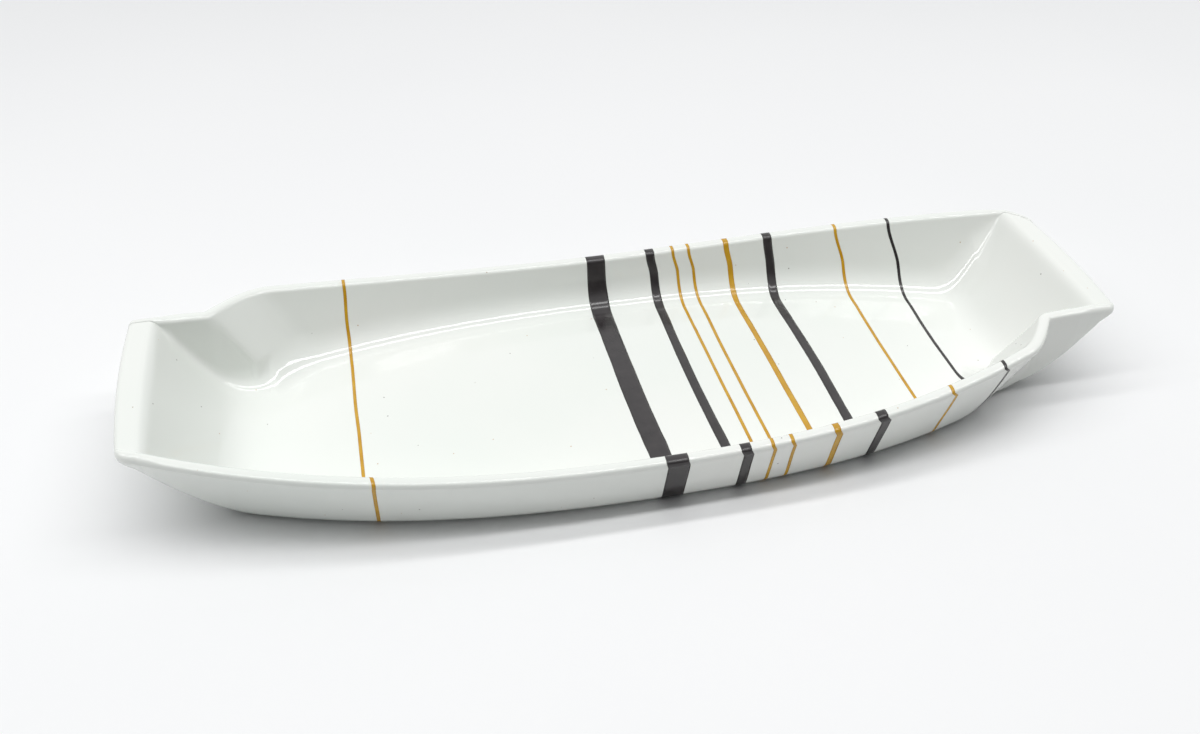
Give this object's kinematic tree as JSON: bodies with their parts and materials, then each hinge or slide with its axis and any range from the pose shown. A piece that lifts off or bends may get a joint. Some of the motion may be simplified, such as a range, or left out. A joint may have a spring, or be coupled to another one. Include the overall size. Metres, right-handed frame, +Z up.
{
  "type": "fish shaped platter",
  "caption": "Long glazed ceramic serving platter with a fish-like plan, swept-up ends, pinched tail corners and dark and ochre stripes across it.",
  "frame": {"origin": "middle of the foot, on the table", "axes": "+X along the dish towards the end beyond the group of stripes, +Y to the back, +Z up out of the dish"},
  "size_m": [0.4078, 0.1504, 0.042],
  "materials": {
    "glaze": "glossy white glaze with a faint green-grey tint and a few fine specks",
    "colour_dark": "charcoal brown colour fired under the gloss",
    "colour_ochre": "mustard ochre colour fired under the gloss"
  },
  "bodies": {
    "root": {"dish_body": "glaze", "line_ochre_a": "colour_ochre", "band_dark_broad": "colour_dark", "band_dark_a": "colour_dark", "line_ochre_b": "colour_ochre", "line_ochre_c": "colour_ochre", "band_ochre": "colour_ochre", "band_dark_b": "colour_dark", "line_ochre_d": "colour_ochre", "line_dark": "colour_dark"}
  },
  "joints": []
}
